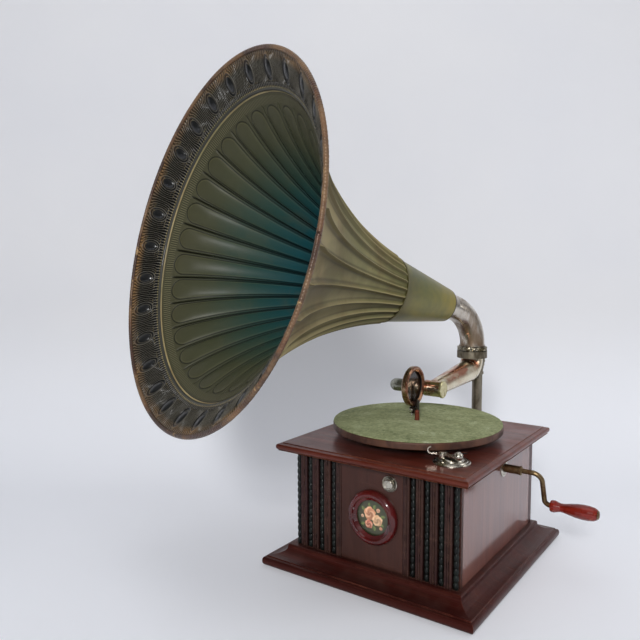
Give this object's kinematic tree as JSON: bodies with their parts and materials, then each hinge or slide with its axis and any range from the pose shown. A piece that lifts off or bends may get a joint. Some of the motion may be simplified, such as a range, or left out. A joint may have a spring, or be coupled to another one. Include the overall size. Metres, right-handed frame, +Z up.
{
  "type": "horn gramophone",
  "caption": "Table gramophone: wooden cabinet with spring motor and hand crank, turntable, tone arm with sound box, and a fluted flower horn on a swivelling elbow.",
  "frame": {"origin": "centre of the cabinet's footprint, on the plinth's underside", "axes": "+Z up; the ornamented front faces -Y; the crank is on the +X side; the horn's post is at +Y"},
  "size_m": [0.6679, 0.6171, 0.724],
  "materials": {
    "mahogany_body": "polished, aged",
    "mahogany_front": "polished, darker",
    "mahogany_reeds": "satin",
    "inner_wood": "unfinished",
    "bead_black": "ebonised, glossy",
    "medallion_mahogany": "turned, French polished",
    "picture": "glazed print of a rose spray",
    "nickel": "nickel plate, tarnished",
    "motor_steel": "machined",
    "motor_brass": "turned",
    "spring_steel": "blued",
    "crank_metal": "worn, brown",
    "handle_wood": "varnished",
    "spindle_metal": "worn",
    "platter_metal": "dark enamel",
    "felt": "green baize",
    "bracket_metal": "nickelled casting",
    "horn_paint": "olive japanning",
    "horn_dark": "black japanning",
    "horn_rim_metal": "worn to copper brown",
    "arm_brass": "copper-toned, worn",
    "cap_brass": "polished",
    "goose_nickel": "tarnished",
    "soundbox_bronze": "bronzed",
    "soundbox_copper": "copper",
    "rubber_black": "gasket",
    "mica": "dark mica",
    "dark_steel": "black lacquer",
    "bright_steel": "polished"
  },
  "bodies": {
    "cabinet": {"plinth": "mahogany_body", "bottom_board": "inner_wood", "front_panel": "mahogany_front", "back_panel": "mahogany_front", "left_panel": "mahogany_body", "right_panel": "mahogany_body", "corner_blocks": "inner_wood", "reeded_strips": "mahogany_reeds", "beaded_rods": "bead_black", "medallion_ring": "medallion_mahogany", "medallion_picture": "picture", "top_board": "mahogany_body", "knob_escutcheon": "nickel", "crank_escutcheon": "crank_metal", "motor_top_plate": "motor_steel", "motor_bottom_plate": "motor_steel", "motor_pillars": "motor_steel", "motor_screws": "nickel", "motor_spacers": "rubber_black", "governor_posts": "motor_steel", "brake_base": "nickel", "brake_screw": "bright_steel", "horn_bracket": "bracket_metal", "bracket_screws": "crank_metal", "collar_ring": "bracket_metal"},
    "turntable": {"platter": "platter_metal", "platter_felt": "felt", "spindle": "spindle_metal", "spindle_wheels": "motor_brass"},
    "barrel": {"spring_barrel": "motor_brass", "barrel_cover": "motor_brass", "mainspring": "spring_steel"},
    "governor": {"governor_shaft": "motor_steel", "governor_weights": "motor_brass", "governor_springs": "spring_steel", "governor_disc": "motor_brass"},
    "crank": {"winding_shaft": "motor_steel", "winding_pinion": "motor_brass", "crank_arm": "crank_metal", "handle_rivet": "crank_metal"},
    "arbor": {"winding_arbor": "motor_steel"},
    "handle": {"crank_handle": "handle_wood"},
    "start_knob": {"start_knob": "nickel"},
    "brake": {"brake_lever": "nickel"},
    "horn": {"horn_elbow": "nickel", "throat_ring": "horn_dark", "horn_cone": "horn_paint", "seam_ring": "horn_dark", "horn_bell": "horn_paint", "horn_rim": "horn_rim_metal"},
    "tone_arm": {"tone_arm": "arm_brass", "arm_cap": "cap_brass"},
    "soundbox": {"gooseneck": "goose_nickel", "soundbox_case": "soundbox_bronze", "soundbox_ring": "soundbox_copper", "soundbox_gaskets": "rubber_black", "diaphragm": "mica", "stylus_bar": "dark_steel", "needle": "bright_steel"},
    "needle_screw": {"needle_screw": "bright_steel"}
  },
  "joints": [
    {"name": "turntable_spin", "type": "hinge", "parent": "cabinet", "child": "turntable", "pos_m": [0, -0.0066, 0.2], "axis": [0, 0, 1], "continuous": true},
    {"name": "barrel_spin", "type": "hinge", "parent": "cabinet", "child": "barrel", "pos_m": [0.05206, 0.0147, 0.09], "axis": [0, 0, 1], "continuous": true},
    {"name": "governor_spin", "type": "hinge", "parent": "cabinet", "child": "governor", "pos_m": [-0.0185, -0.0066, 0.09], "axis": [0, 1, 0], "continuous": true},
    {"name": "crank_spin", "type": "hinge", "parent": "cabinet", "child": "crank", "pos_m": [0.15, 0.0147, 0.15], "axis": [1, 0, 0], "continuous": true},
    {"name": "arbor_spin", "type": "hinge", "parent": "cabinet", "child": "arbor", "pos_m": [0.05206, 0.0147, 0.1], "axis": [0, 0, 1], "continuous": true},
    {"name": "handle_spin", "type": "hinge", "parent": "crank", "child": "handle", "pos_m": [0.22, 0.03455, 0.10086], "axis": [1, 0, 0], "continuous": true},
    {"name": "knob_slide", "type": "slide", "parent": "cabinet", "child": "start_knob", "axis": [0, -1, 0], "range_m": [0, 0.005]},
    {"name": "brake_swing", "type": "hinge", "parent": "cabinet", "child": "brake", "pos_m": [0.09012, -0.10846, 0.193], "axis": [0, 0, 1], "range_deg": [-4, 22]},
    {"name": "horn_swivel", "type": "hinge", "parent": "cabinet", "child": "horn", "pos_m": [0, 0.2016, 0.3], "axis": [0, 0, 1], "range_deg": [-90, 90]},
    {"name": "tone_arm_swing", "type": "hinge", "parent": "cabinet", "child": "tone_arm", "pos_m": [0, 0.2016, 0.27], "axis": [0, 0, 1], "range_deg": [-40, 40]},
    {"name": "soundbox_lift", "type": "hinge", "parent": "tone_arm", "child": "soundbox", "pos_m": [0, 0.05, 0.24566], "axis": [-1, 0, 0], "range_deg": [0, 90]},
    {"name": "needle_screw_turn", "type": "hinge", "parent": "soundbox", "child": "needle_screw", "pos_m": [-0.014, 0, 0.21816], "axis": [0, 1, 0], "range_deg": [0, 720]}
  ],
  "couplings": [
    {"joint": "barrel_spin", "follows": "turntable_spin", "ratio": -0.25},
    {"joint": "governor_spin", "follows": "turntable_spin", "ratio": 24},
    {"joint": "arbor_spin", "follows": "crank_spin", "ratio": 0.33333}
  ]
}
